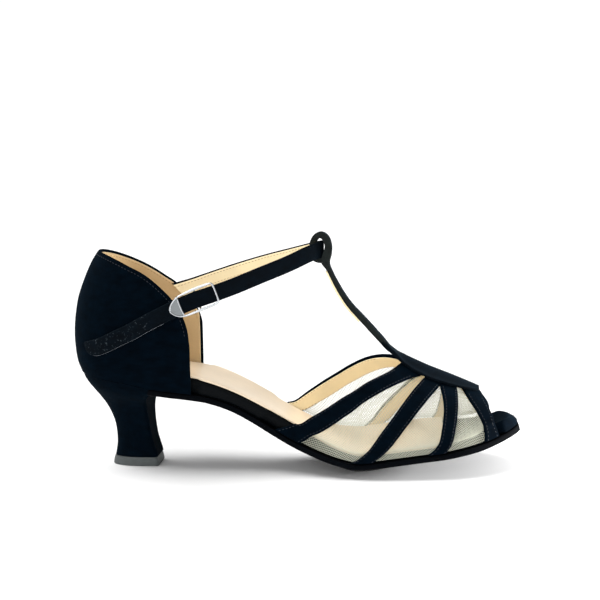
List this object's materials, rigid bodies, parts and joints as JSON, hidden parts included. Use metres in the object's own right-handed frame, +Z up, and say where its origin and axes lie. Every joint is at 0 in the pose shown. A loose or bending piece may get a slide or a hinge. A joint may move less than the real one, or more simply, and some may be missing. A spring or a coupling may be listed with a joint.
{
  "type": "ballroom dance shoe",
  "caption": "Open-toe strappy dance sandal with a flared heel, closed counter, T-strap, net-filled toe straps and a buckled ankle strap.",
  "frame": {"origin": "on the floor, under the middle of the heel's top piece", "axes": "+X to the toe, +Y to the inner side of the foot, +Z up"},
  "size_m": [0.2364, 0.0804, 0.124],
  "materials": {
    "outsole_suede": "brushed grey-black suede sole with a dark edge",
    "board_wrap": "black covering on the board's edge, slight sheen",
    "sock_leather": "pale beige, smooth with a soft sheen",
    "black_suede": "black microfibre suede, matt with a soft nap",
    "heel_suede": "black suede covering, matt",
    "tip_rubber": "dark grey, matt",
    "net_beige": "sheer beige net, see-through",
    "buckle_silver": "polished silver metal"
  },
  "bodies": {
    "root": {"outsole": "outsole_suede", "insole_board": "board_wrap", "sock": "sock_leather", "heel": "heel_suede", "heel_tip": "tip_rubber", "upper_quarter": "black_suede", "upper_vamp": "black_suede", "vamp_mesh": "net_beige", "t_strap": "black_suede", "ankle_strap": "black_suede", "buckle_frame": "buckle_silver", "buckle_bar": "buckle_silver", "buckle_tab": "black_suede"}
  },
  "joints": []
}
